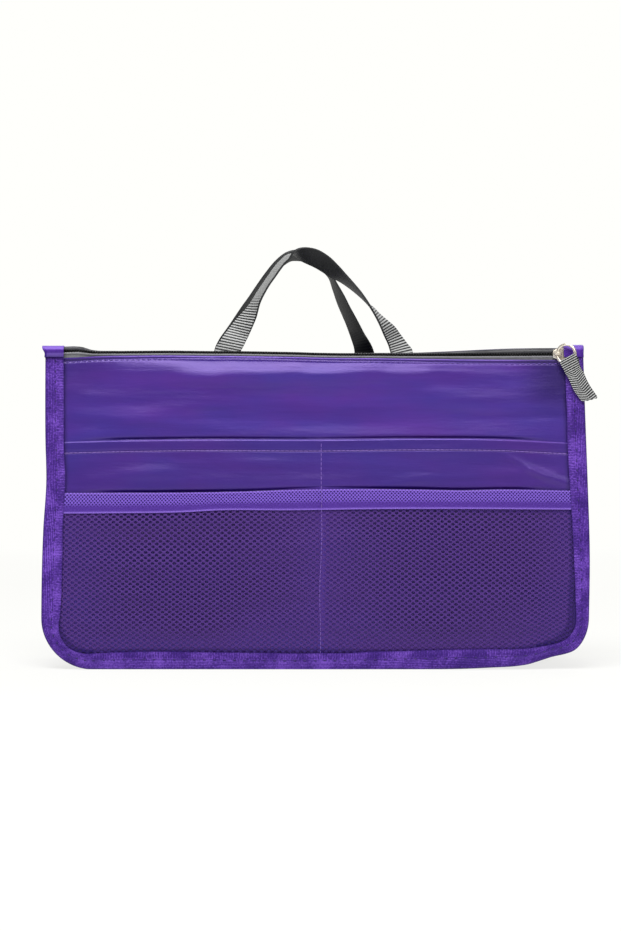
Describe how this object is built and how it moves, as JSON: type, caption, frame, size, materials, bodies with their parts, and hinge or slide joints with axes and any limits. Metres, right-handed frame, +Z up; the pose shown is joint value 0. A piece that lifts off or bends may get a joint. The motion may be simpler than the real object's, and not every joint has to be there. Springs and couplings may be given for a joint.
{
  "type": "purse organizer insert",
  "caption": "Soft nylon bag-in-bag organizer: zipped flat pouches joined by a folding gusset round an open compartment, with slip and mesh pockets, bound edges and webbing handles.",
  "frame": {"origin": "on the table, midway between the two pouches and their sides", "axes": "+X across the front to the right, -Y out of the front, +Z up"},
  "size_m": [0.3006, 0.0846, 0.2279],
  "materials": {
    "nylon": "thin satin woven nylon",
    "net": "knitted net",
    "band": "twill tape",
    "binding": "folded woven tape",
    "zip_tape": "woven zip tape",
    "coil": "nylon coil",
    "metal": "plated, pale",
    "webbing": "ribbed webbing"
  },
  "bodies": {
    "front_pouch": {"front_outer_panel": "nylon", "front_slip_pocket": "nylon", "front_mesh_pocket": "net", "front_mesh_band": "band", "front_inner_panel": "nylon", "front_inner_pocket": "nylon", "front_binding": "binding", "front_zip_tape_outer": "zip_tape", "front_zip_tape_inner": "zip_tape", "front_zip_coil_outer": "coil", "front_zip_coil_inner": "coil", "front_handle_end_left": "webbing", "front_handle_end_right": "webbing", "bottom_strip": "nylon", "left_gusset": "nylon", "right_gusset": "nylon"},
    "front_slider": {"front_zip_slider": "metal"},
    "front_ring": {"front_pull_ring": "metal"},
    "front_tab": {"front_pull_tab": "webbing"},
    "front_handle": {"front_handle_loop": "webbing"},
    "rear_pouch": {"rear_outer_panel": "nylon", "rear_slip_pocket": "nylon", "rear_inner_panel": "nylon", "rear_inner_pocket": "nylon", "rear_binding": "binding", "rear_zip_tape_outer": "zip_tape", "rear_zip_tape_inner": "zip_tape", "rear_zip_coil_outer": "coil", "rear_zip_coil_inner": "coil", "rear_handle_end_left": "webbing", "rear_handle_end_right": "webbing"},
    "rear_slider": {"rear_zip_slider": "metal"},
    "rear_ring": {"rear_pull_ring": "metal"},
    "rear_tab": {"rear_pull_tab": "webbing"},
    "rear_handle": {"rear_handle_loop": "webbing"}
  },
  "joints": [
    {"name": "rear_pouch_fold", "type": "hinge", "parent": "front_pouch", "child": "rear_pouch", "pos_m": [0, 0.037, 0.01034], "axis": [1, 0, 0], "range_deg": [-8, 8], "deforming": ["left_gusset", "right_gusset"]},
    {"name": "front_handle_flop", "type": "hinge", "parent": "front_pouch", "child": "front_handle", "pos_m": [0, -0.02505, 0.1727], "axis": [1, 0, 0], "range_deg": [-25, 95]},
    {"name": "front_zip_run", "type": "slide", "parent": "front_pouch", "child": "front_slider", "axis": [1, 0, 0], "range_m": [-0.258, 0], "deforming": ["front_zip_coil_outer", "front_zip_coil_inner"]},
    {"name": "front_ring_turn", "type": "hinge", "parent": "front_slider", "child": "front_ring", "pos_m": [0.1293, -0.03133, 0.16735], "axis": [0, -0.0698, -0.9976], "range_deg": [0, 125]},
    {"name": "front_tab_swing", "type": "hinge", "parent": "front_ring", "child": "front_tab", "pos_m": [0.13575, -0.03465, 0.16304], "axis": [0.8214, -0.3526, 0.4483], "range_deg": [-60, 0]},
    {"name": "rear_handle_flop", "type": "hinge", "parent": "rear_pouch", "child": "rear_handle", "pos_m": [0, 0.02505, 0.1727], "axis": [-1, 0, 0], "range_deg": [-25, 95]},
    {"name": "rear_zip_run", "type": "slide", "parent": "rear_pouch", "child": "rear_slider", "axis": [-1, 0, 0], "range_m": [-0.258, 0], "deforming": ["rear_zip_coil_outer", "rear_zip_coil_inner"]},
    {"name": "rear_ring_turn", "type": "hinge", "parent": "rear_slider", "child": "rear_ring", "pos_m": [-0.1293, 0.03133, 0.16735], "axis": [0, 0.0698, -0.9976], "range_deg": [0, 125]},
    {"name": "rear_tab_swing", "type": "hinge", "parent": "rear_ring", "child": "rear_tab", "pos_m": [-0.13575, 0.03465, 0.16304], "axis": [-0.8214, 0.3526, 0.4483], "range_deg": [-60, 0]}
  ]
}
